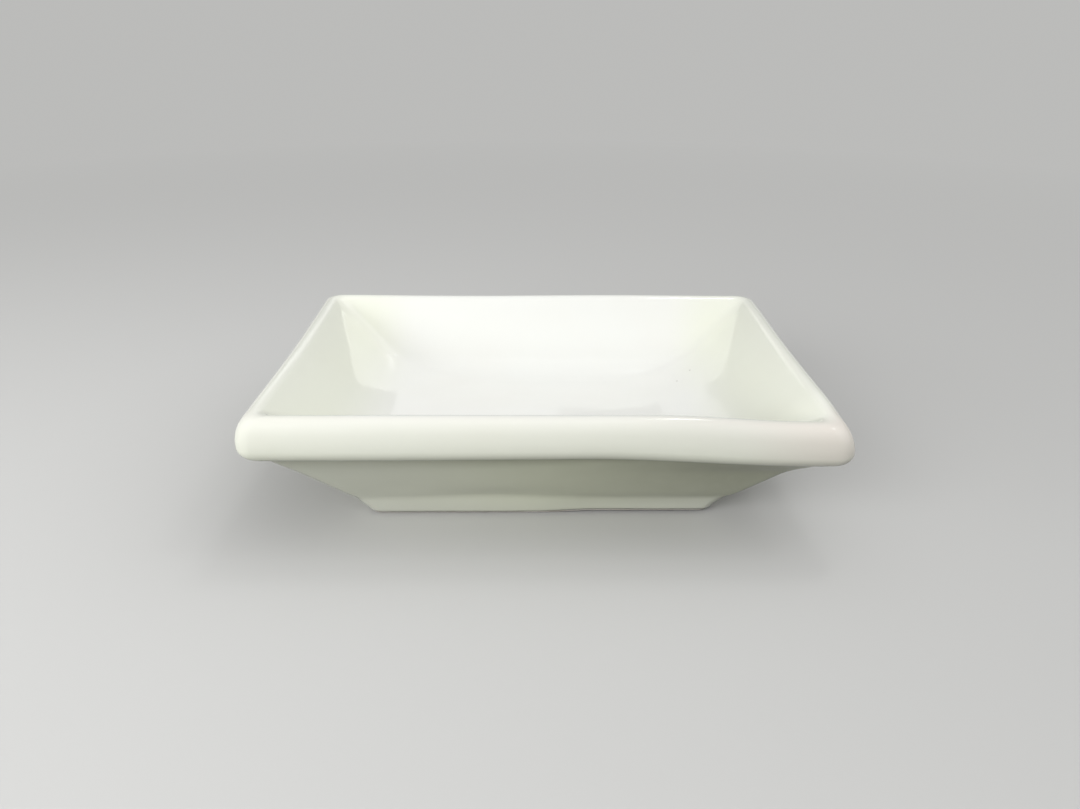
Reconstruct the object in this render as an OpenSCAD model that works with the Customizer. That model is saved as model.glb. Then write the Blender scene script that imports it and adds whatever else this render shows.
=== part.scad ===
// Rectangular soy sauce dish in white glazed porcelain, in millimetres.
// A flared well, a rolled rim band, slanted walls and a low foot ring are moulded as one body. Two
// coats of glaze cover it and leave the foot's face dry, where the dish stood while it was fired.
// The origin is the middle of the standing face. X runs along the dish, Y to its back and Z up.

/* [Dish] */
// Length across the rim band
dish_w = 95; // [80:0.5:130]
// Depth across the rim band, front to back
dish_d = 64.4; // [54:0.2:100]
// Height from the table to the rim's crest
dish_h = 23; // [21:0.1:29]

/* [Rim band] */
// Height of the thick band around the rim
band_h = 6.7; // [5.5:0.1:8.5]
// Radius of the rolled crest
crest_r = 2.1; // [1.6:0.1:2.5]
// Radius of the band's lower edge
band_edge_r = 1.8; // [1:0.1:3]
// How far the band's bulging face leans in on its way up to the crest
band_lean = 0.65; // [0.3:0.05:1.4]
// Flat width of the ledge under the band
band_ledge = 0.1; // [0.05:0.05:1]
// Radius of the crease where the ledge meets the wall
crease_r = 0.6; // [0.4:0.1:1.2]
// Corner radius of the band in plan
rim_corner_r = 3.2; // [2.2:0.1:8]

/* [Well] */
// Depth of the well below the crest
well_depth = 13.6; // [10:0.1:16]
// Slope of the two end walls of the well, in degrees from upright
well_end_angle = 48; // [42:1:56]
// Slope of the two long walls of the well, in degrees from upright
well_side_angle = 38; // [30:1:44]
// Radius of the fillet between the well's floor and its end walls
well_end_fillet_r = 24; // [4:0.5:32]
// Radius of the fillet between the well's floor and its long walls
well_side_fillet_r = 9; // [2:0.5:14]
// Corner radius of the well in plan, under the crest
well_mouth_corner_r = 2; // [1:0.1:6]
// Corner radius of the well in plan, at its floor
well_floor_corner_r = 6; // [1:0.1:10]

/* [Outer wall] */
// How far each end wall runs in on its way down from the band to the foot
wall_end_run = 12.8; // [10:0.1:14]
// How far each long wall runs in on its way down from the band to the foot
wall_side_run = 7.2; // [5:0.1:9.2]
// Corner radius of the wall in plan
wall_corner_r = 3; // [2:0.1:8]

/* [Foot] */
// Height of the foot ring, from the table to the wall
foot_h = 4.1; // [2.8:0.1:5]
// How much the foot narrows on each side on its way down
foot_draft = 1.4; // [0.3:0.1:1.8]
// Radius of the hollow where the wall meets the foot
foot_fillet_r = 3; // [0.8:0.1:4]
// Radius of the foot's two lower edges
foot_edge_r = 0.7; // [0.55:0.05:1]
// Flat width of the face that the dish stands on
foot_face_w = 2.2; // [1.2:0.1:4]
// Corner radius of the foot in plan
foot_corner_r = 2.3; // [1.6:0.1:8]
// Depth of the recess inside the foot ring
recess_h = 3.2; // [2.4:0.1:4]
// Radius of the hollow around the recess
recess_fillet_r = 1.4; // [0.6:0.1:1.6]
// Corner radius of the recess in plan
recess_corner_r = 2; // [1.6:0.1:6]

/* [Glaze] */
// Thickness of the glaze
glaze_t = 0.3; // [0.15:0.05:0.45]

/* [Hidden] */

// Colours of the bare fired clay and of the glaze
clay_colour = [0.91, 0.89, 0.84];
glaze_colour = [0.95, 0.95, 0.92];

// Heights of the well's floor and of the band's underside
floor_z = dish_h - well_depth;
band_z = dish_h - band_h;

// Steps in a quarter turn of a corner, and along each round of the section
corner_steps = 8;
fine_steps = 11;
round_steps = 8;
small_steps = 4;

// Slope of the foot's two sides, in degrees from upright
foot_angle = atan2(foot_draft, foot_h);

// Centres of the rolled crest and of the band's lower edge in the section, whose zero is the band's
// widest line
crest = [-band_lean - crest_r, dish_h - crest_r];
edge = [-band_edge_r, band_z + band_edge_r];

// The band's face bulges between them. It is upright on the widest line, where the lower edge begins,
// and its radius and centre are those that bring it tangent to the crest.
face_rise = crest.y - edge.y;
face_r = crest_r + (pow(band_lean, 2) + pow(face_rise, 2)) / (2 * band_lean);
face = [-face_r, edge.y];
face_turn = atan2(face_rise, crest.x - face.x);

// The three stretches of the section, in their order
coated = 0;
foot = 1;
recessed = 2;

// Direction in the plane of the section
function towards(angle) = [cos(angle), sin(angle)];

// Points along a round of the section, each as [out, up, corner radius in plan]. A layer that lies
// under the finished surface grows the radius in a hollow, and shrinks it on an edge, about one centre.
function bend(centre, radius, grow, turn, corners, steps) = [
    for (step = [0 : steps])
        let (way = towards(turn[0] + (turn[1] - turn[0]) * step / steps))
        let (corner = corners[0] + (corners[1] - corners[0]) * step / steps)
        concat(centre + (radius + grow) * way, corner + grow * way.x)
];

// A round without its two end points, where it only links the rounds before and after it
function between(points) = [for (i = [1 : len(points) - 2]) points[i]];

// Centre of a fillet at the well's floor, tangent to the floor and to a wall from the crest
function floor_fillet(slope, fillet_r) =
    let (top = crest + crest_r * towards(180 - slope))
    let (up = floor_z + fillet_r)
    [top.x + ((up - top.y) * sin(slope) - fillet_r) / cos(slope), up];

// Where the line of a wall, carried on from its crease, meets the underside of the band
function wall_start(slope) = -band_edge_r - band_ledge - crease_r * (1 - sin(slope)) / cos(slope);

// Centre of the hollow between a wall and the foot, tangent to both
function foot_hollow(foot_top, wall_slope) =
    let (half_turn = (wall_slope - foot_angle) / 2)
    foot_top + foot_fillet_r / cos(half_turn) * towards(-foot_angle - half_turn);

// Centre of the foot's outer edge, tangent to its outer side and to the table
function foot_edge(foot_top) =
    let (rise = foot_h - foot_edge_r)
    [foot_top.x - (rise * sin(foot_angle) + foot_edge_r) / cos(foot_angle), foot_edge_r];

// Centre of the hollow around the recess, tangent to its ceiling and to the inner side of the foot
function recess_hollow(inner_edge) =
    let (low = inner_edge + foot_edge_r * towards(180 + foot_angle))
    let (up = recess_h - recess_fillet_r)
    [low.x - (recess_fillet_r + (up - low.y) * sin(foot_angle)) / cos(foot_angle), up];

// Section of what the coat covers, from the well's floor over the rim and down the wall to the foot
function coated_section(well_slope, fillet_r, wall_slope, foot_top, cover) =
    let (well = floor_fillet(well_slope, fillet_r))
    let (crease = [-band_edge_r - band_ledge, band_z - crease_r])
    let (hollow = foot_hollow(foot_top, wall_slope))
    let (floor_corners = [well_floor_corner_r, well_floor_corner_r])
    let (crest_corners = [well_mouth_corner_r, rim_corner_r])
    let (face_corners = [rim_corner_r, rim_corner_r])
    let (edge_corners = [rim_corner_r, wall_corner_r])
    let (wall_corners = [wall_corner_r, wall_corner_r])
    let (foot_corners = [foot_corner_r, foot_corner_r])
    concat(
        bend(well, fillet_r, cover, [-90, -well_slope], floor_corners, round_steps),
        bend(crest, crest_r, -cover, [180 - well_slope, face_turn], crest_corners, fine_steps),
        between(bend(face, face_r, -cover, [face_turn, 0], face_corners, round_steps)),
        bend(edge, band_edge_r, -cover, [0, -90], edge_corners, round_steps),
        bend(crease, crease_r, cover, [90, 180 - wall_slope], wall_corners, small_steps),
        bend(hollow, foot_fillet_r, cover, [180 - wall_slope, 180 - foot_angle], foot_corners, small_steps)
    );

// Section of the foot's face between its two edges. A layer under the surface sinks as far as it
// shrinks, so the face stays on the table.
function foot_section(outer_edge, inner_edge, cover) =
    let (sunk = [0, cover])
    let (foot_corners = [foot_corner_r, foot_corner_r])
    let (recess_corners = [recess_corner_r, recess_corner_r])
    concat(
        bend(outer_edge - sunk, foot_edge_r, -cover, [-foot_angle, -90], foot_corners, small_steps),
        bend(inner_edge - sunk, foot_edge_r, -cover, [-90, foot_angle - 180], recess_corners, small_steps)
    );

// Whole section through one side of the dish, in its three stretches, under the finished surface by
// cover. It is measured outwards from the band's widest line and up from the table.
function section(well_slope, fillet_r, wall_run, cover) =
    let (wall_slope = atan2(wall_run, band_z - foot_h))
    let (foot_top = [wall_start(wall_slope) - wall_run, foot_h])
    let (outer_edge = foot_edge(foot_top))
    let (inner_edge = outer_edge - [foot_face_w, 0])
    let (recess_corners = [recess_corner_r, recess_corner_r])
    let (recess = recess_hollow(inner_edge))
    [
        coated_section(well_slope, fillet_r, wall_slope, foot_top, cover),
        foot_section(outer_edge, inner_edge, cover),
        bend(recess, recess_fillet_r, cover, [foot_angle, 90], recess_corners, small_steps)
    ];

// A ring round the dish, through one point of the end section and the same point of the side section.
// Its corners are rounded, and the height passes smoothly from one section to the other round them.
function ring(at_end, at_side) = [
    for (quarter = [0 : 3], step = [0 : corner_steps])
        let (turn = 90 * (quarter + step / corner_steps))
        let (right = quarter % 3 == 0 ? 1 : -1)
        let (back = quarter < 2 ? 1 : -1)
        let (side_share = pow(sin(turn), 2))
        [
            right * (dish_w / 2 + at_end[0] - at_end[2]) + at_end[2] * cos(turn),
            back * (dish_d / 2 + at_side[0] - at_side[2]) + at_side[2] * sin(turn),
            at_end[1] * (1 - side_share) + at_side[1] * side_share
        ]
];

// Rings of one stretch of the section, under the finished surface by cover
function rings(stretch, cover) =
    let (ends = section(well_end_angle, well_end_fillet_r, wall_end_run, cover)[stretch])
    let (sides = section(well_side_angle, well_side_fillet_r, wall_side_run, cover)[stretch])
    [for (i = [0 : len(ends) - 1]) ring(ends[i], sides[i])];

function reversed(list) = [for (i = [len(list) - 1 : -1 : 0]) list[i]];

function first(list) = [list[0]];

function last(list) = [list[len(list) - 1]];

// Two triangles over four corners, split along the shorter diagonal, so that two pieces that share a
// surface split it alike
function split(points, a, b, c, d) =
    norm(points[a] - points[c]) < norm(points[b] - points[d])
        ? [[a, b, c], [a, c, d]]
        : [[a, b, d], [b, c, d]];

// Closed solid through a row of rings, from an upper flat face out and round to a lower one
module loft(row) {
    count = len(row[0]);
    points = [for (one = row) each one];
    sides = [
        for (k = [0 : len(row) - 2], i = [0 : count - 1])
            let (here = k * count, next = (i + 1) % count)
            each split(points, here + i, here + next, here + count + next, here + count + i)
    ];
    upper = [for (i = [count - 1 : -1 : 0]) i];
    lower = [for (i = [0 : count - 1]) (len(row) - 1) * count + i];
    polyhedron(points, concat(sides, [upper, lower]));
}

// Fired clay body, bare on the face that it stands on
module porcelain_body() {
    color(clay_colour)
        loft(concat(rings(coated, glaze_t), rings(foot, glaze_t), rings(recessed, glaze_t)));
}

// Glaze over the well, the rim, the outside and the foot's outer side, ending where the foot's edge
// begins to turn under
module glaze_coat() {
    surface = concat(rings(coated, 0), first(rings(foot, 0)));
    clay = concat(rings(coated, glaze_t), first(rings(foot, glaze_t)));
    color(glaze_colour) loft(concat(surface, reversed(clay)));
}

// Glaze in the recess, ending where the foot's inner edge begins to turn under
module base_glaze() {
    surface = concat(last(rings(foot, 0)), rings(recessed, 0));
    clay = concat(last(rings(foot, glaze_t)), rings(recessed, glaze_t));
    color(glaze_colour) loft(concat(reversed(clay), surface));
}

porcelain_body();
glaze_coat();
base_glaze();
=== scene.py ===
"""Looks of a small rectangular soy sauce dish in white glazed porcelain, in metres.

One section of the dish, from the floor of its well over the rim and down under its foot, is carried
round a rounded rectangle. The fired clay and the two coats of glaze are layers of that section. One
gentle warp, such as the kiln leaves in this ware, bends all of them alike.
"""

import math

import bpy
import numpy as np
from mathutils import Matrix, Vector


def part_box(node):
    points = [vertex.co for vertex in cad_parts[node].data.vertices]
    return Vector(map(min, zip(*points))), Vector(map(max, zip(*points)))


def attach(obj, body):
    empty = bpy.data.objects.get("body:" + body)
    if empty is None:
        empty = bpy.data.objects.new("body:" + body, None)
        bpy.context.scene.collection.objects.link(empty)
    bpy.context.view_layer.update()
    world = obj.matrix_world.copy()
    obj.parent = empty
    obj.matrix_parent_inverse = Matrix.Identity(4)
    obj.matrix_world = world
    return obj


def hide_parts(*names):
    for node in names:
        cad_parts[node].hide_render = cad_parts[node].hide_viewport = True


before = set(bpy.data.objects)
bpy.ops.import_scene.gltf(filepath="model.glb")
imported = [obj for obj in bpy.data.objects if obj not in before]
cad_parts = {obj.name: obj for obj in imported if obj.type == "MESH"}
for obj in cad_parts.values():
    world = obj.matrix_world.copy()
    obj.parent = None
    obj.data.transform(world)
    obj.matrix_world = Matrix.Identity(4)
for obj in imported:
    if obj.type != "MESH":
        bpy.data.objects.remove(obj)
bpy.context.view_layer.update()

MM = 0.001

# Overall sizes, from the frame
coat_low, coat_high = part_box("glaze_coat")
DISH_W = coat_high.x - coat_low.x
DISH_D = coat_high.y - coat_low.y
DISH_H = coat_high.z

# Rim band
BAND_H = 6.7 * MM
CREST_R = 2.1 * MM
BAND_EDGE_R = 1.8 * MM
BAND_LEAN = 0.65 * MM
BAND_WIDEST = 2.1 * MM
BAND_LEDGE = 0.1 * MM
CREASE_R = 0.6 * MM
CREST_CORNER_R = 2.5 * MM
RIM_CORNER_R = 3.2 * MM

# Well, with the slopes of its walls in degrees from upright
WELL_DEPTH = 13.6 * MM
WELL_END_ANGLE = 48
WELL_SIDE_ANGLE = 38
WELL_END_FILLET_R = 24 * MM
WELL_SIDE_FILLET_R = 9 * MM
WELL_MOUTH_CORNER_R = 2 * MM
WELL_FLOOR_CORNER_R = 6 * MM

# Outer wall
WALL_END_RUN = 12.8 * MM
WALL_SIDE_RUN = 7.2 * MM
WALL_CORNER_R = 3 * MM

# Foot ring
FOOT_H = 4.1 * MM
FOOT_DRAFT = 1.4 * MM
FOOT_FILLET_R = 8 * MM
FOOT_EDGE_R = 0.7 * MM
FOOT_FACE_W = 2.2 * MM
FOOT_CORNER_R = 2.3 * MM
RECESS_H = 3.2 * MM
RECESS_FILLET_R = 1.4 * MM
RECESS_CORNER_R = 2 * MM

# Glaze: its thickness, and the length over which its end thins out
GLAZE_T = 0.3 * MM
GLAZE_END_L = 0.4 * MM

# The glaze's end line strays by up to a length. Its shares are a middle and waves about it, each with
# its height, how often it goes up and down round the dish, and the angle at which it starts.
GLAZE_END_STRAY = 0.15 * MM
STRAY_MIDDLE_SHARE = 0.5
STRAY_WAVE_SHARES = ((0.22, 3, 0.6), (0.16, 7, 2.1), (0.12, 17, 0.0))

# Divisions of the rings: in a corner, along a long side and along a short side
CORNER_STEPS = 14
LONG_STEPS = 64
SHORT_STEPS = 44

# Divisions of the section's rounds and of the straight runs after them, and of the flat faces in the
# well and the recess. A round without a run begins where the one before it ends.
WELL_STEPS, WELL_RUN_STEPS = 22, 14
CREST_STEPS, CREST_RUN_STEPS = 14, 0
FACE_STEPS, FACE_RUN_STEPS = 28, 0
EDGE_STEPS, LEDGE_RUN_STEPS = 20, 1
CREASE_STEPS, WALL_RUN_STEPS = 10, 14
HOLLOW_STEPS, FOOT_RUN_STEPS = 10, 14
FOOT_EDGE_STEPS, FOOT_FACE_STEPS = 8, 4
RECESS_RUN_STEPS, RECESS_STEPS = 8, 8
FLAT_STEPS = 18

WELL_FLOOR_Z = DISH_H - WELL_DEPTH
BAND_Z = DISH_H - BAND_H
FOOT_ANGLE = math.degrees(math.atan2(FOOT_DRAFT, FOOT_H))


def towards(angle):
    """Unit direction in the plane of the section, at an angle in degrees above the outward way."""
    turn = np.radians(angle)
    return np.stack([np.cos(turn), np.sin(turn)], axis=-1)


# Centres of the rolled crest, of the band's bulging face and lower edge, and of the crease under it.
# The section is measured outwards from the band's widest line and up from the table. The face, from
# the crest's top, and the lower edge are quarters of two ovals that meet on the widest line.
WIDEST_Z = BAND_Z + BAND_WIDEST
CREST = np.array([-BAND_LEAN - CREST_R, DISH_H - CREST_R])
FACE = np.array([CREST[0], WIDEST_Z])
FACE_RADII = (-CREST[0], DISH_H - WIDEST_Z)
EDGE = np.array([-BAND_EDGE_R, WIDEST_Z])
EDGE_RADII = (BAND_EDGE_R, BAND_WIDEST)
CREASE = np.array([-BAND_EDGE_R - BAND_LEDGE, BAND_Z - CREASE_R])


def bend(centre, radii, grow, turn, corners, steps):
    """A round of the section: an arc of a circle or oval about centre, over a turn in degrees.

    The turn is the outward normal's, from its first angle to its last. The oval's point there is its
    squared radii times the normal, over the length of its radii times the normal. Each row is [out,
    up, corner radius in plan]. A layer under the surface grows the radii in a hollow and shrinks them
    on an edge, and the corner radius changes by as much sideways. One radius or corner stands for two.
    """
    share = np.linspace(0, 1, steps + 1)
    way = towards(turn[0] + (turn[1] - turn[0]) * share)
    reach = np.broadcast_to(radii, 2)
    oval = reach**2 * way / np.linalg.norm(reach * way, axis=-1, keepdims=True)
    first, last = np.broadcast_to(corners, 2)
    corner = first + (last - first) * share + grow * way[:, 0]
    return np.column_stack([centre + oval + grow * way, corner])


def joined(rounds, run_steps):
    """The rounds of a section in a row, with the straight runs between them divided into steps.

    A fourth column is the station: the first round has stations 0 to 1, the run after it 1 to 2, the
    next round 2 to 3, and so on. Where a run has no steps, the next round's first point is the last
    one's end.
    """
    numbered = [
        np.column_stack([points, np.linspace(2 * order, 2 * order + 1, len(points))])
        for order, points in enumerate(rounds)
    ]
    row = [numbered[0]]
    for steps, after in zip(run_steps, numbered[1:]):
        if steps == 0:
            row.append(after[1:])
            continue
        share = np.linspace(0, 1, steps + 1)[1:-1, None]
        before = row[-1][-1]
        row += [before + (after[0] - before) * share, after]
    return np.concatenate(row)


def floor_fillet(slope, fillet_r):
    """Centre of the fillet that touches the well's floor and a wall of that slope, off the crest."""
    turn = math.radians(slope)
    top = CREST + CREST_R * towards(180 - slope)
    up = WELL_FLOOR_Z + fillet_r
    return np.array([top[0] + ((up - top[1]) * math.sin(turn) - fillet_r) / math.cos(turn), up])


def foot_places(wall_slope, wall_run):
    """Centres of the foot's hollow, its outer edge, its inner edge and the recess's hollow.

    The foot's hollow, above it, touches the wall and the foot's side. The edges touch the foot's sides
    and the table. The recess's hollow touches its ceiling and the foot's inner side.
    """
    turn, draft = math.radians(wall_slope), math.radians(FOOT_ANGLE)
    crease_reach = CREASE_R * (1 - math.sin(turn)) / math.cos(turn)
    foot_top = np.array([CREASE[0] - crease_reach - wall_run, FOOT_H])
    half = (wall_slope - FOOT_ANGLE) / 2
    hollow = foot_top + FOOT_FILLET_R / math.cos(math.radians(half)) * towards(-FOOT_ANGLE - half)
    drawn_in = ((FOOT_H - FOOT_EDGE_R) * math.sin(draft) + FOOT_EDGE_R) / math.cos(draft)
    outer = np.array([foot_top[0] - drawn_in, FOOT_EDGE_R])
    inner = outer - [FOOT_FACE_W, 0]
    low = inner + FOOT_EDGE_R * towards(180 + FOOT_ANGLE)
    up = RECESS_H - RECESS_FILLET_R
    recess_out = low[0] - (RECESS_FILLET_R + (up - low[1]) * math.sin(draft)) / math.cos(draft)
    return hollow, outer, inner, np.array([recess_out, up])


def section(well_slope, fillet_r, wall_run, cover):
    """The dish's section, a depth of cover under its surface, from the well's floor to the recess.

    Its rounds, in order: the well's fillet, the crest, the band's face and lower edge, the crease,
    the foot's hollow, the foot's outer and inner edges, and the recess's hollow. The foot's edges
    sink as far as they shrink, so its face stays on the table.
    """
    wall_slope = math.degrees(math.atan2(wall_run, BAND_Z - FOOT_H))
    well = floor_fillet(well_slope, fillet_r)
    hollow, outer, inner, recess = foot_places(wall_slope, wall_run)
    sunk = np.array([0, cover])
    crest_corners = (WELL_MOUTH_CORNER_R, CREST_CORNER_R)
    crest_turn = (180 - well_slope, 90)
    hollow_turn = (180 - wall_slope, 180 - FOOT_ANGLE)
    outer_turn = (-FOOT_ANGLE, -90)
    inner_turn = (-90, FOOT_ANGLE - 180)
    rounds = [
        bend(well, fillet_r, cover, (-90, -well_slope), WELL_FLOOR_CORNER_R, WELL_STEPS),
        bend(CREST, CREST_R, -cover, crest_turn, crest_corners, CREST_STEPS),
        bend(FACE, FACE_RADII, -cover, (90, 0), (CREST_CORNER_R, RIM_CORNER_R), FACE_STEPS),
        bend(EDGE, EDGE_RADII, -cover, (0, -90), (RIM_CORNER_R, WALL_CORNER_R), EDGE_STEPS),
        bend(CREASE, CREASE_R, cover, (90, 180 - wall_slope), WALL_CORNER_R, CREASE_STEPS),
        bend(hollow, FOOT_FILLET_R, cover, hollow_turn, FOOT_CORNER_R, HOLLOW_STEPS),
        bend(outer - sunk, FOOT_EDGE_R, -cover, outer_turn, FOOT_CORNER_R, FOOT_EDGE_STEPS),
        bend(inner - sunk, FOOT_EDGE_R, -cover, inner_turn, RECESS_CORNER_R, FOOT_EDGE_STEPS),
        bend(recess, RECESS_FILLET_R, cover, (FOOT_ANGLE, 90), RECESS_CORNER_R, RECESS_STEPS),
    ]
    runs = (
        WELL_RUN_STEPS,
        CREST_RUN_STEPS,
        FACE_RUN_STEPS,
        LEDGE_RUN_STEPS,
        WALL_RUN_STEPS,
        FOOT_RUN_STEPS,
        FOOT_FACE_STEPS,
        RECESS_RUN_STEPS,
    )
    return joined(rounds, runs)


# Stations, as joined() numbers them: where the coat ends, where the glaze under the base begins, and
# between which ones the foot's face is rubbed
COAT_END = 12
BASE_START = 15
STANDING_FROM, STANDING_TO = 12.5, 14.5


def carried_round(ends, sides):
    """Rings round the dish, one for each point of the section through an end and through a side.

    In a corner, x follows the end's section and y the side's, on a quarter circle of each one's
    corner radius, and the height passes from one to the other as the cosine squared of the turn.
    Straight sides join the corners. The result is rings by points by xyz.
    """
    quarter = np.arange(4)[:, None]
    turn = np.pi / 2 * (quarter + np.linspace(0, 1, CORNER_STEPS + 1))
    right = np.array([1, -1, -1, 1])[:, None]
    back = np.array([1, 1, -1, -1])[:, None]
    end_out, end_up, end_corner = (ends[:, column, None, None] for column in range(3))
    side_out, side_up, side_corner = (sides[:, column, None, None] for column in range(3))
    x = right * (DISH_W / 2 + end_out - end_corner) + end_corner * np.cos(turn)
    y = back * (DISH_D / 2 + side_out - side_corner) + side_corner * np.sin(turn)
    z = end_up * np.cos(turn) ** 2 + side_up * np.sin(turn) ** 2
    corners = np.stack([x, y, z], axis=-1)
    ring = []
    for number, steps in enumerate((LONG_STEPS, SHORT_STEPS, LONG_STEPS, SHORT_STEPS)):
        start = corners[:, number, -1:]
        end = corners[:, (number + 1) % 4, :1]
        share = np.linspace(0, 1, steps + 1)[1:-1, None]
        ring += [corners[:, number], start + (end - start) * share]
    return np.concatenate(ring, axis=1)


def layer(cover):
    """Rings of the whole section at a depth of cover under the surface, and the station of each."""
    ends = section(WELL_END_ANGLE, WELL_END_FILLET_R, WALL_END_RUN, cover)
    sides = section(WELL_SIDE_ANGLE, WELL_SIDE_FILLET_R, WALL_SIDE_RUN, cover)
    return carried_round(ends, sides), ends[:, 3]


def ease(value, start, end):
    """Smooth step from 0 at start to 1 at end."""
    share = np.clip((value - start) / (end - start), 0, 1)
    return share * share * (3 - 2 * share)


def bell(value, middle, width):
    """A bell curve: e to the minus squared distance from its middle in widths."""
    return np.exp(-(((value - middle) / width) ** 2))


# Warp of this dish. Its front right rim corner slumped in the kiln, lower and out, and more so low on
# the band, where the slump also starts further left.
SLUMP_TOP = np.array([0.45, -0.5, -1.05]) * MM
SLUMP_LOW = np.array([0.95, -0.5, -1.1]) * MM
SLUMP_START_AT_BAND = 6 * MM
SLUMP_START_SLOPE = 1.8
SLUMP_FULL = 41 * MM
SLUMP_DEPTHS = (20 * MM, 31 * MM)
SLUMP_HEIGHTS = (11 * MM, 16.3 * MM)

# The left of the front band sags at its lower edge
SAG = 0.33 * MM
SAG_ALONG = (-20 * MM, 34 * MM)
SAG_DEPTHS = (20 * MM, 28 * MM)
SAG_HEIGHTS = (11 * MM, 16.3 * MM, 21 * MM)

# The right half of the foot's front stands a hair off the table, and its corner is drawn in
FOOT_LIFT = np.array([-0.45, 0.15, 0.34]) * MM
FOOT_LIFT_ALONG = (-2 * MM, 10 * MM)
FOOT_LIFT_DEPTHS = (5 * MM, 15 * MM)
FOOT_LIFT_HEIGHTS = (1.5 * MM, 6 * MM)

# The foot's ends are drawn in towards the table, and the hollow above its front rises left of middle
FOOT_ENDS_IN = 1.1 * MM
FOOT_ENDS_ALONG = (20 * MM, 30 * MM)
FOOT_ENDS_HEIGHTS = (0, 4.5 * MM)
HOLLOW_RISE, HOLLOW_RISE_AT, HOLLOW_RISE_L = 0.45 * MM, -9 * MM, 12 * MM
HOLLOW_RISE_Z, HOLLOW_RISE_H = 4.6 * MM, 2 * MM
HOLLOW_RISE_DEPTHS = (8 * MM, 16 * MM)

# The ends bow in at their middle, and the back rim rises and falls a little, both less so lower down
RIM_HEIGHTS = (5 * MM, 16 * MM)
END_BOW = 0.2 * MM
END_BOW_ALONG = (26 * MM, 44 * MM)
BACK_WAVE = 0.1 * MM
BACK_WAVE_L = 62 * MM
BACK_WAVE_DEPTHS = (18 * MM, 28 * MM)

# The well's floor came out dished towards its left end, with a tighter bend at the foot of the wall
DISHED_RISE, DISHED_AT, DISHED_L = 0.58 * MM, -22.4 * MM, 9.2 * MM
KNEE_SINK, KNEE_AT, KNEE_L = 0.4 * MM, -30.4 * MM, 4.2 * MM
DISHED_DEPTHS = (13 * MM, 31 * MM)
DISHED_HEIGHTS = (5 * MM, 8 * MM)


def warped(points):
    """Points moved by the warp: each cause is a vector times smooth steps or bells along the axes."""
    x, y, z = points[..., 0], points[..., 1], points[..., 2]
    rim = ease(z, *RIM_HEIGHTS)
    start = SLUMP_START_AT_BAND + SLUMP_START_SLOPE * (np.clip(z, BAND_Z, DISH_H) - BAND_Z)
    slump = ease(x, start, SLUMP_FULL) * ease(-y, *SLUMP_DEPTHS) * ease(z, *SLUMP_HEIGHTS)
    sunk = SLUMP_LOW + (SLUMP_TOP - SLUMP_LOW) * ease(z, BAND_Z, DISH_H)[..., None]
    lift = ease(x, *FOOT_LIFT_ALONG) * ease(-y, *FOOT_LIFT_DEPTHS)
    lift = lift * (1 - ease(z, *FOOT_LIFT_HEIGHTS))
    low_band = ease(z, *SAG_HEIGHTS[:2]) * (1 - ease(z, *SAG_HEIGHTS[1:]))
    sag = ease(-x, *SAG_ALONG) * ease(-y, *SAG_DEPTHS) * low_band
    drawn = np.sign(x) * ease(np.abs(x), *FOOT_ENDS_ALONG) * (1 - ease(z, *FOOT_ENDS_HEIGHTS))
    raised = bell(x, HOLLOW_RISE_AT, HOLLOW_RISE_L) * bell(z, HOLLOW_RISE_Z, HOLLOW_RISE_H)
    raised = raised * ease(-y, *HOLLOW_RISE_DEPTHS)
    bow = -np.cos(2 * np.pi * y / DISH_D) * np.sign(x) * ease(np.abs(x), *END_BOW_ALONG) * rim
    wave = np.sin(2 * np.pi * x / BACK_WAVE_L) * ease(y, *BACK_WAVE_DEPTHS) * rim
    inside = (1 - ease(np.abs(y), *DISHED_DEPTHS)) * ease(z, *DISHED_HEIGHTS)
    dished = DISHED_RISE * bell(x, DISHED_AT, DISHED_L) - KNEE_SINK * bell(x, KNEE_AT, KNEE_L)
    moved = points + slump[..., None] * sunk + lift[..., None] * FOOT_LIFT
    moved[..., 0] += END_BOW * bow - FOOT_ENDS_IN * drawn
    moved[..., 2] += BACK_WAVE * wave + dished * inside - SAG * sag + HOLLOW_RISE * raised
    return moved


def closed_in(rings, steps):
    """Rings from the middle of the first ring's flat face out to that ring, and that middle."""
    middle = rings[0].mean(axis=0)
    share = np.linspace(0, 1, steps + 1)[1:-1, None, None]
    return middle + (rings[0] - middle) * share, middle


def ring_faces(rows, count):
    """Numbers of the points of rings, those of the points next on, and the faces between the rings."""
    number = np.arange(rows * count).reshape(rows, count)
    following = np.roll(number, -1, axis=1)
    quads = np.stack([number[:-1], number[1:], following[1:], following[:-1]], axis=-1)
    return number, following, quads.reshape(-1, 4).tolist()


def placed(name, data):
    """An object that holds the data, at the origin of the scene."""
    made = bpy.data.objects.new(name, data)
    bpy.context.scene.collection.objects.link(made)
    return made


def piece(name, rings, upper, lower, finish, marks):
    """A closed mesh through rings, from an upper middle point out and round to a lower one.

    Neighbouring rings are joined by four-sided faces, and each end by a fan of triangles. Marks are
    named values at the points, for the finish.
    """
    rows, count = rings.shape[:2]
    points = np.concatenate([rings.reshape(-1, 3), [upper, lower]])
    number, following, quads = ring_faces(rows, count)
    top, bottom = rows * count, rows * count + 1
    first = np.stack([np.full(count, top), number[0], following[0]], axis=-1)
    last = np.stack([number[-1], np.full(count, bottom), following[-1]], axis=-1)
    mesh = bpy.data.meshes.new(name)
    mesh.from_pydata(points.tolist(), [], quads + first.tolist() + last.tolist())
    mesh.shade_smooth()
    for mark, values in marks.items():
        padded = np.concatenate([values.ravel(), [0, 0]]).astype(np.float32)
        mesh.attributes.new(mark, "FLOAT", "POINT").data.foreach_set("value", padded)
    mesh.materials.append(finish)
    mesh.update()
    return placed(name, mesh)


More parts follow.
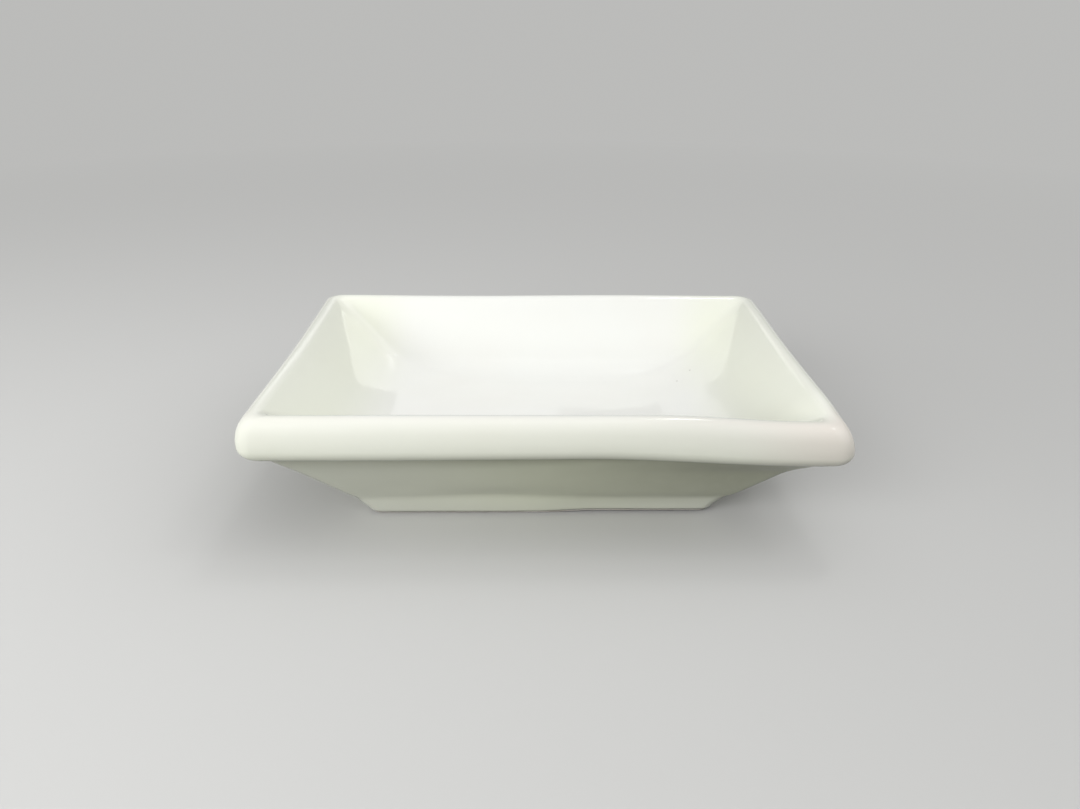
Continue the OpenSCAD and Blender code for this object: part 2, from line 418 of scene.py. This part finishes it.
def thinned(surface, clay, along):
    """Glaze surface that sinks to the clay in a quarter ellipse, as along goes from 0 to 1."""
    sunk = 1 - np.sqrt(np.clip(1 - along**2, 0, 1))
    return surface + (clay - surface) * sunk


def glaze_stray(rings):
    """How far the glaze's end line strays back from the foot's edge all round: a sum of sines."""
    turn = np.linspace(0, 2 * np.pi, rings.shape[1], endpoint=False)
    waves = [high * np.sin(often * turn + start) for high, often, start in STRAY_WAVE_SHARES]
    return GLAZE_END_STRAY * (STRAY_MIDDLE_SHARE + sum(waves))


def drawn_back(rings, stray):
    """The rings of a straight run, scaled along it so that the last one lies back by the stray."""
    run = rings[-1] - rings[0]
    length = np.linalg.norm(run, axis=-1)
    return rings[0] + (rings - rings[0]) * (1 - stray / length)[None, :, None]


# Finishes


def node(tree, kind, inputs=None, **settings):
    """A shader node with its settings, whose inputs are values or other nodes' outputs."""
    made = tree.nodes.new(kind)
    for name, value in settings.items():
        setattr(made, name, value)
    for name, value in (inputs or {}).items():
        if isinstance(value, bpy.types.NodeSocket):
            tree.links.new(value, made.inputs[name])
        else:
            made.inputs[name].default_value = value
    return made


def noise(tree, place, scale, detail=2.0, roughness=0.5):
    """Noise of that many cells to the metre, from 0 to 1."""
    inputs = {"Vector": place, "Scale": scale, "Detail": detail, "Roughness": roughness}
    return node(tree, "ShaderNodeTexNoise", inputs).outputs["Fac"]


def spread(tree, value, low, high, to_low=0.0, to_high=1.0):
    """A value from low to high, carried to the range from to_low to to_high and held there."""
    inputs = {"Value": value, "From Min": low, "From Max": high}
    inputs.update({"To Min": to_low, "To Max": to_high})
    return node(tree, "ShaderNodeMapRange", inputs).outputs["Result"]


def times(tree, one, other):
    """Product of two values."""
    return node(tree, "ShaderNodeMath", {0: one, 1: other}, operation="MULTIPLY").outputs[0]


def plus(tree, one, other):
    """Sum of two values."""
    return node(tree, "ShaderNodeMath", {0: one, 1: other}, operation="ADD").outputs[0]


def tinted(tree, share, colour, other):
    """A colour mixed with another one by a share."""
    inputs = {"Factor": share, 6: colour, 7: other}
    return node(tree, "ShaderNodeMix", inputs, data_type="RGBA").outputs[2]


def attribute(tree, name):
    """A mark of the piece's own points."""
    return node(tree, "ShaderNodeAttribute", attribute_name=name).outputs["Fac"]


def new_finish(name, **constants):
    """A material with its principled shader, whose constant inputs are set."""
    material = bpy.data.materials.new(name)
    material.use_nodes = True
    shader = material.node_tree.nodes["Principled BSDF"]
    for socket, value in constants.items():
        shader.inputs[socket.replace("_", " ")].default_value = value
    return material, material.node_tree, shader


# Colours of the glaze: as it lies in the well, with its clouds, a yellow-green tint of thicker glaze
# and painted shade, dark painted shade, painted shade on the crest, warm painted shade, and in a
# pinhole
GLAZE_WHITE = (0.84, 0.84, 0.81, 1)
GLAZE_WHITE_COOL = (0.845, 0.85, 0.825, 1)
GLAZE_THICK_SHADE = (0.81, 0.845, 0.645, 1)
GLAZE_PAINTED_SHADE = (0.45, 0.47, 0.335, 1)
GLAZE_CREST_SHADE = (0.725, 0.71, 0.65, 1)
GLAZE_WARM_SHADE = (0.77, 0.70, 0.635, 1)
PINHOLE = (0.20, 0.17, 0.13, 1)

# Two pinholes to the back right in the well: where they are, how large, and how dark in their core
PINHOLES = ((27.9 * MM, 10.8 * MM, 10.9 * MM), (30.9 * MM, 13.3 * MM, 12.2 * MM))
PINHOLE_R = 0.2 * MM
PINHOLE_CORE_SHARE = 0.4
PINHOLE_DARK = 0.75

# Noise in the glaze: its cells to the metre, the range of it that counts, and what that range gives
CLOUD_CELLS = 55
CLOUD_RANGE = (0.35, 0.65)
MOTTLE_CELLS = 240
MOTTLE_RANGE = (0.3, 0.7)
MOTTLE_SHARES = (0.88, 1.0)
GLOSS_CELLS, GLOSS_DETAIL = 130, 4
GLOSS_RANGE = (0.3, 0.7)
GLOSS_ROUGHNESS = (0.05, 0.11)

# The skin's ripples, broad and fine, and how high they are
BROAD_RIPPLE_CELLS = 95
FINE_RIPPLE_CELLS = 420
FINE_RIPPLE_SHARE = 0.16
RIPPLE_H = 0.09 * MM

GLAZE_IOR = 1.5


def white_glaze():
    """Glossy white glaze: faint clouds, tints and painted shade by its marks, two pinholes and a
    rippled skin.
    """
    material, tree, shader = new_finish("white_glaze", IOR=GLAZE_IOR)
    place = node(tree, "ShaderNodeTexCoord").outputs["Object"]
    clouds = spread(tree, noise(tree, place, CLOUD_CELLS), *CLOUD_RANGE)
    colour = tinted(tree, clouds, GLAZE_WHITE, GLAZE_WHITE_COOL)
    mottle = spread(tree, noise(tree, place, MOTTLE_CELLS), *MOTTLE_RANGE, *MOTTLE_SHARES)
    # Yellow-green tint, partly thicker glaze and partly painted shade on and under the band
    colour = tinted(tree, attribute(tree, "thick"), colour, GLAZE_THICK_SHADE)
    # Painted shade, dark, in the crease and low on the wall, more to the right
    colour = tinted(tree, times(tree, attribute(tree, "painted_shade"), mottle), colour, GLAZE_PAINTED_SHADE)
    # Painted shade on the front crest
    colour = tinted(tree, attribute(tree, "crest_shade"), colour, GLAZE_CREST_SHADE)
    # Warm painted shade on the band's right end
    colour = tinted(tree, attribute(tree, "warm"), colour, GLAZE_WARM_SHADE)
    for hole in PINHOLES:
        away = node(tree, "ShaderNodeVectorMath", {0: place, 1: hole}, operation="DISTANCE")
        core = PINHOLE_CORE_SHARE * PINHOLE_R
        dark = spread(tree, away.outputs["Value"], core, PINHOLE_R, PINHOLE_DARK, 0.0)
        colour = tinted(tree, dark, colour, PINHOLE)
    tree.links.new(colour, shader.inputs["Base Color"])
    gloss = noise(tree, place, GLOSS_CELLS, GLOSS_DETAIL)
    tree.links.new(spread(tree, gloss, *GLOSS_RANGE, *GLOSS_ROUGHNESS), shader.inputs["Roughness"])
    broad = noise(tree, place, BROAD_RIPPLE_CELLS)
    fine = noise(tree, place, FINE_RIPPLE_CELLS)
    ripple = plus(tree, broad, times(tree, fine, FINE_RIPPLE_SHARE))
    bump = node(tree, "ShaderNodeBump", {"Height": ripple, "Distance": RIPPLE_H, "Strength": 1.0})
    tree.links.new(bump.outputs["Normal"], shader.inputs["Normal"])
    return material


# Colours of the bare clay: pale, in its warm flecks, and where the table rubbed it
CLAY_PALE = (0.78, 0.75, 0.685, 1)
CLAY_WARM = (0.70, 0.655, 0.575, 1)
CLAY_RUBBED = (0.42, 0.40, 0.37, 1)

# Noise in the clay: its grain, flecks and rubbed marks, in the same order of values as the glaze's
GRAIN_CELLS, GRAIN_DETAIL = 2600, 3
GRAIN_RANGE = (0.3, 0.7)
GRAIN_ROUGHNESS = (0.72, 0.92)
GRAIN_H, GRAIN_STRENGTH = 0.05 * MM, 0.6
FLECK_CELLS, FLECK_DETAIL = 180, 4
FLECK_RANGE = (0.4, 0.75)
RUBBED_CELLS, RUBBED_DETAIL, RUBBED_ROUGHNESS = 420, 5, 0.65
RUBBED_RANGE = (0.58, 0.72)
RUBBED_SHARES = (0.0, 0.5)


def bare_porcelain():
    """Dry fired clay: fine grain, warm flecks, and grey rubbed marks where it stands."""
    material, tree, shader = new_finish("bare_porcelain")
    place = node(tree, "ShaderNodeTexCoord").outputs["Object"]
    grain = noise(tree, place, GRAIN_CELLS, GRAIN_DETAIL)
    flecks = spread(tree, noise(tree, place, FLECK_CELLS, FLECK_DETAIL), *FLECK_RANGE)
    colour = tinted(tree, flecks, CLAY_PALE, CLAY_WARM)
    rubbed = noise(tree, place, RUBBED_CELLS, RUBBED_DETAIL, RUBBED_ROUGHNESS)
    rubbed = spread(tree, rubbed, *RUBBED_RANGE, *RUBBED_SHARES)
    colour = tinted(tree, times(tree, attribute(tree, "standing"), rubbed), colour, CLAY_RUBBED)
    tree.links.new(colour, shader.inputs["Base Color"])
    tree.links.new(spread(tree, grain, *GRAIN_RANGE, *GRAIN_ROUGHNESS), shader.inputs["Roughness"])
    inputs = {"Height": grain, "Distance": GRAIN_H, "Strength": GRAIN_STRENGTH}
    bump = node(tree, "ShaderNodeBump", inputs)
    tree.links.new(bump.outputs["Normal"], shader.inputs["Normal"])
    return material


# Share of the yellow-green tint at the stations of the section, from 0 to 1, partly thicker glaze and
# partly painted shade under the band, what the well's two ends add to that, and its share under the
# base
BASE_THICK = 0.5
THICK_SHADE_STATIONS = (0, 2, 4, 5, 6, 7, 8, 10, 12)
THICK_SHADE_SHARES = (0.05, 0.05, 0.12, 0.48, 0.5, 0.75, 1.0, 0.9, 0.7)
THICK_ENDS_ALONG = (26 * MM, 38 * MM)
THICK_ENDS_STATIONS = (1.6, 3, 4, 4.5)
THICK_ENDS_SHARES = (0.4, 0.2, 0.2, 0)

# Under the band the yellow-green tint is strongest near the middle. Painted shade darkens the band's
# underside and the wall below it, more so to the right, and the crease, less so at the left
UNDER_BAND = (7, 8)
GATHERED_AT, GATHERED_L, GATHERED_LEAST = 3 * MM, 22 * MM, 0.65
RIGHT_SHADE_ALONG = (-15 * MM, 34 * MM)
RIGHT_SHADE_STATIONS = (7.5, 8.5, 9.3, 10, 11, 12)
RIGHT_SHADE_SHARES = (0, 1, 0.9, 0.65, 0.1, 0)
CREASE_SHADE_STATIONS = (7.5, 8, 9, 9.12, 9.3)
CREASE_SHADE_SHARES = (0, 1, 1, 0.5, 0)
CREASE_SHADE_LEAST = 0.5
CREASE_SHADE_ALONG = (-30 * MM, 5 * MM)

# Painted shade on the front's crest, most of all to the right, and warm painted shade on the
# band's right end
CREST_SHADE_LEAST = 0.5
CREST_SHADE_STATIONS = (2.4, 3, 4, 4.25, 4.6, 5)
CREST_SHADE_SHARES = (0, 0.6, 0.7, 1, 0.5, 0)
CREST_SHADE_ALONG = (8 * MM, 30 * MM)
FRONT_DEPTHS = (22 * MM, 30 * MM)
WARM_SHADE_ALONG = (26 * MM, 45 * MM)
WARM_SHADE_STATIONS = (2, 3, 4, 4.4, 4.8, 6.4, 7)
WARM_SHADE_SHARES = (0, 0.3, 0.3, 0.6, 0.6, 0.4, 0)


def share_at(station, stations, shares):
    """Shares at each ring's station, in straight lines between those of a table."""
    return np.interp(station, stations, shares)[:, None]


def glaze_marks(station, rings):
    """How strong the tint and the painted shades are at each point of rings at those stations.

    Each is a share read off its table by the station, times smooth steps or bells along the axes.
    """
    x, front = rings[..., 0], ease(-rings[..., 1], *FRONT_DEPTHS)
    ends = share_at(station, THICK_ENDS_STATIONS, THICK_ENDS_SHARES)
    under = ease(station, *UNDER_BAND)[:, None]
    gathered = GATHERED_LEAST + (1 - GATHERED_LEAST) * bell(x, GATHERED_AT, GATHERED_L)
    # Yellow-green tint, partly thicker glaze and partly painted shade under the band
    thick = share_at(station, THICK_SHADE_STATIONS, THICK_SHADE_SHARES) * (1 - under + under * gathered)
    thick = thick + ends * ease(np.abs(x), *THICK_ENDS_ALONG)
    # Painted shade under the band, more to the right, and in the crease
    right_shade = share_at(station, RIGHT_SHADE_STATIONS, RIGHT_SHADE_SHARES) * ease(x, *RIGHT_SHADE_ALONG)
    crease = CREASE_SHADE_LEAST + (1 - CREASE_SHADE_LEAST) * ease(x, *CREASE_SHADE_ALONG)
    crease = share_at(station, CREASE_SHADE_STATIONS, CREASE_SHADE_SHARES) * crease
    # Painted shade on the front crest, more to the right
    crest = CREST_SHADE_LEAST + (1 - CREST_SHADE_LEAST) * ease(x, *CREST_SHADE_ALONG)
    crest_shade = share_at(station, CREST_SHADE_STATIONS, CREST_SHADE_SHARES) * crest * front
    # Warm painted shade on the band's right end
    warm = share_at(station, WARM_SHADE_STATIONS, WARM_SHADE_SHARES) * ease(x, *WARM_SHADE_ALONG) * front
    return {"thick": thick, "painted_shade": np.maximum(right_shade, crease), "crest_shade": crest_shade, "warm": warm}


def end_share(rings, last):
    """How far each ring lies within the thinned end of the glaze, from 0 to 1 at the last ring."""
    away = np.linalg.norm(rings - last, axis=-1)
    return np.clip(1 - away / GLAZE_END_L, 0, 1)[..., None]


def glaze_over_dish(finish):
    """Glaze over the well, rim, wall and foot: its outer surface out, then its clay side back."""
    surface, station = layer(0)
    clay, _ = layer(GLAZE_T)
    kept = station <= COAT_END
    run = (station >= COAT_END - 1) & kept
    stray = glaze_stray(surface)
    surface[run] = drawn_back(surface[run], stray)
    clay[run] = drawn_back(clay[run], stray)
    outer, inner, station = surface[kept], clay[kept], station[kept]
    outer = thinned(outer, inner, end_share(outer, outer[-1]))
    outer_floor, upper = closed_in(outer, FLAT_STEPS)
    inner_floor, lower = closed_in(inner, FLAT_STEPS)
    rings = np.concatenate([outer_floor, outer, inner[-2::-1], inner_floor[::-1]])
    floor_station = np.zeros(len(outer_floor))
    stations = np.concatenate([floor_station, station, station[-2::-1], floor_station])
    marks = glaze_marks(stations, rings)
    made = piece("glaze_over_dish", warped(rings), warped(upper), warped(lower), finish, marks)
    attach(made, "root")
    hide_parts("glaze_coat")


def glaze_under_base(finish):
    """Glaze in the recess under the dish: its clay side out to the foot, then its surface back."""
    surface, station = layer(0)
    clay, _ = layer(GLAZE_T)
    kept = station >= BASE_START
    outer, inner = surface[kept], clay[kept]
    outer = thinned(outer, inner, end_share(outer, outer[0]))
    outer_floor, lower = closed_in(outer[::-1], FLAT_STEPS)
    inner_floor, upper = closed_in(inner[::-1], FLAT_STEPS)
    rings = np.concatenate([inner_floor, inner[:0:-1], outer, outer_floor[::-1]])
    nothing = np.zeros(rings.shape[:2])
    marks = {"thick": nothing + BASE_THICK, "painted_shade": nothing, "crest_shade": nothing, "warm": nothing}
    made = piece("glaze_under_base", warped(rings), warped(upper), warped(lower), finish, marks)
    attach(made, "root")
    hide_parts("base_glaze")


def fired_clay_body(finish):
    """The clay body, bare on the foot's face: the whole section at the glaze's depth."""
    clay, station = layer(GLAZE_T)
    floor, upper = closed_in(clay, FLAT_STEPS)
    ceiling, lower = closed_in(clay[::-1], FLAT_STEPS)
    rings = np.concatenate([floor, clay, ceiling[::-1]])
    standing = (station >= STANDING_FROM) & (station <= STANDING_TO)
    ends = np.zeros(len(floor))
    standing = np.concatenate([ends, standing, ends])[:, None] * np.ones(rings.shape[:2])
    marks = {"standing": standing}
    made = piece("fired_clay_body", warped(rings), warped(upper), warped(lower), finish, marks)
    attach(made, "root")
    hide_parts("porcelain_body")


# Stage: a pale round floor with a low upturned edge. Its colours: the one seen near the dish, the one
# that lights the dish, and the even one far off.
FLOOR_PALE = (0.56, 0.56, 0.55, 1)
FLOOR_DEEP = (0.10, 0.10, 0.095, 1)
FLOOR_FAR = (0.50, 0.50, 0.49, 1)
FLOOR_FAR_FROM, FLOOR_FAR_TO = 0.10, 0.45
FLOOR_ROUGHNESS, FLOOR_SHINE = 0.9, 0.1

# Its middle facet, its level part and its edge's arc, with the arc's turn in degrees, and its divisions
FLOOR_MIDDLE_R = 0.02
FLOOR_R = 1.0
FLOOR_EDGE_R = 0.5
FLOOR_EDGE_TURN = 50
FLOOR_RINGS, FLOOR_EDGE_RINGS, FLOOR_SPOKES = 10, 12, 96


def pale_floor():
    """A matt floor that looks pale, evens out far from the dish, and throws little light up at it."""
    shine = {"Roughness": FLOOR_ROUGHNESS, "Specular_IOR_Level": FLOOR_SHINE}
    material, tree, shader = new_finish("pale_floor", **shine)
    path = node(tree, "ShaderNodeLightPath").outputs
    mirrored = plus(tree, path["Is Glossy Ray"], path["Is Transmission Ray"])
    seen = plus(tree, path["Is Camera Ray"], mirrored)
    tree.links.new(tinted(tree, seen, FLOOR_DEEP, FLOOR_PALE), shader.inputs["Base Color"])
    place = node(tree, "ShaderNodeTexCoord").outputs["Object"]
    reach = node(tree, "ShaderNodeVectorMath", {0: place}, operation="LENGTH").outputs["Value"]
    far = times(tree, seen, spread(tree, reach, FLOOR_FAR_FROM, FLOOR_FAR_TO))
    even = node(tree, "ShaderNodeEmission", {"Color": FLOOR_FAR}).outputs["Emission"]
    mixed = node(tree, "ShaderNodeMixShader", {0: far, 1: shader.outputs["BSDF"], 2: even})
    tree.links.new(mixed.outputs["Shader"], tree.nodes["Material Output"].inputs["Surface"])
    return material


def studio_floor():
    """A round sheet: level out to its edge, then up an arc of a circle, turned about the z axis."""
    turn = np.linspace(0, math.radians(FLOOR_EDGE_TURN), FLOOR_EDGE_RINGS)[1:]
    level = np.linspace(FLOOR_MIDDLE_R, FLOOR_R, FLOOR_RINGS)
    reach = np.concatenate([level, FLOOR_R + FLOOR_EDGE_R * np.sin(turn)])[:, None]
    height = np.concatenate([0 * level, FLOOR_EDGE_R * (1 - np.cos(turn))])[:, None]
    around = np.linspace(0, 2 * np.pi, FLOOR_SPOKES, endpoint=False)
    rings = np.stack([reach * np.cos(around), reach * np.sin(around), height + 0 * around], axis=-1)
    number, _, quads = ring_faces(*rings.shape[:2])
    mesh = bpy.data.meshes.new("studio_floor")
    mesh.from_pydata(rings.reshape(-1, 3).tolist(), [], quads + [number[0].tolist()])
    mesh.shade_smooth()
    mesh.materials.append(pale_floor())
    floor = placed("studio_floor", mesh)


# Light: a dim even world with broad soft glows, each with the way to it and its brightness. The higher
# the bunching, the narrower a glow.
WORLD_GREY = 0.03
GLOW_BUNCHING = 4
GLOWS = (
    ((0.497, -0.287, 0.819), 0.76),
    ((0.807, 0.142, 0.574), 0.76),
    ((-0.807, 0.142, 0.574), 0.18),
    ((0.0, 0.469, 0.883), 0.60),
    ((0.75, -0.433, 0.5), 0.35),
)

# Lamps, all aimed at the dish, each with its name, place, size and power, and whether the glaze
# mirrors it
AIM_UP_SHARE = 0.4
AIM = Vector((0, 0, AIM_UP_SHARE * DISH_H))
LAMPS = (
    ("front_fill", (-0.22, -0.30, 0.18), (0.25, 0.25), 1.08, False),
    ("side_fill", (-0.35, -0.12, 0.10), (0.20, 0.15), 0.32, False),
    ("thin_tube", (0.04, -0.18, 0.70), (0.20, 0.06), 0.03, True),
    ("back_card", (-0.205, 1.20, 0.60), (0.51, 0.16), 0.18, True),
    ("rim_lamp", (0.18, 0.24, 0.70), (0.06, 0.16), 0.36, True),
    ("corner_lamp", (0.448, 0.006, 0.70), (0.12, 0.12), 0.25, True),
    ("soft_lamp", (-0.316, -0.531, 0.70), (0.08, 0.08), 0.04, True),
)


def studio_world():
    """A grey world, plus each glow's brightness times a power of the cosine of the angle to it."""
    world = bpy.data.worlds.new("studio_world")
    world.use_nodes = True
    tree = world.node_tree
    way = node(tree, "ShaderNodeTexCoord").outputs["Generated"]
    bright = WORLD_GREY
    for towards_glow, brightness in GLOWS:
        ahead = Vector(towards_glow).normalized()
        near = node(tree, "ShaderNodeVectorMath", {0: way, 1: ahead}, operation="DOT_PRODUCT")
        inputs = {0: near.outputs["Value"], 1: 0.0}
        held = node(tree, "ShaderNodeMath", inputs, operation="MAXIMUM").outputs[0]
        glow = node(tree, "ShaderNodeMath", {0: held, 1: GLOW_BUNCHING}, operation="POWER")
        bright = plus(tree, times(tree, glow.outputs[0], brightness), bright)
    tree.links.new(bright, tree.nodes["Background"].inputs["Color"])
    bpy.context.scene.world = world


def studio_lamps():
    """Area lamps of the listed place, size and power, all aimed at the dish."""
    for name, place, size, power, mirrored in LAMPS:
        lamp = bpy.data.lights.new(name, "AREA")
        lamp.shape = "RECTANGLE"
        lamp.size, lamp.size_y = size
        lamp.energy = power
        holder = placed(name, lamp)
        holder.location = place
        holder.visible_glossy = mirrored
        holder.rotation_euler = (AIM - Vector(place)).to_track_quat("-Z", "Y").to_euler()


# Camera: where it stands, how it is turned in degrees, and its lens for an image of that many pixels
CAMERA_PLACE = Vector((-1.779, -138.670, 77.930)) * MM
CAMERA_YAW = 0.631
CAMERA_PITCH = 25.841
CAMERA_ROLL = 0.257
IMAGE_W = 1080
FOCAL_PIXELS = 800.4
SENSOR_W = 36
CAMERA_NEAREST = 1 * MM


def photo_camera():
    """A camera that looks along yaw and pitch, turned about its axis by the roll."""
    yaw = math.radians(CAMERA_YAW)
    pitch = math.radians(CAMERA_PITCH)
    roll = math.radians(CAMERA_ROLL)
    flat = math.cos(pitch)
    forward = Vector((math.sin(yaw) * flat, math.cos(yaw) * flat, -math.sin(pitch)))
    right = Vector((math.cos(yaw), -math.sin(yaw), 0))
    down = forward.cross(right)
    across = right * math.cos(roll) - down * math.sin(roll)
    upward = -(right * math.sin(roll) + down * math.cos(roll))
    camera = bpy.data.cameras.new("photo_camera")
    camera.sensor_width = SENSOR_W
    camera.lens = SENSOR_W * FOCAL_PIXELS / IMAGE_W
    camera.clip_start = CAMERA_NEAREST
    holder = placed("photo_camera", camera)
    turned = Matrix((across, upward, -forward)).transposed().to_4x4()
    holder.matrix_world = Matrix.Translation(CAMERA_PLACE) @ turned
    bpy.context.scene.camera = holder


bpy.context.scene.view_settings.view_transform = "Standard"
photo_camera()
studio_floor()
studio_world()
studio_lamps()
glaze = white_glaze()
glaze_over_dish(glaze)
glaze_under_base(glaze)
fired_clay_body(bare_porcelain())
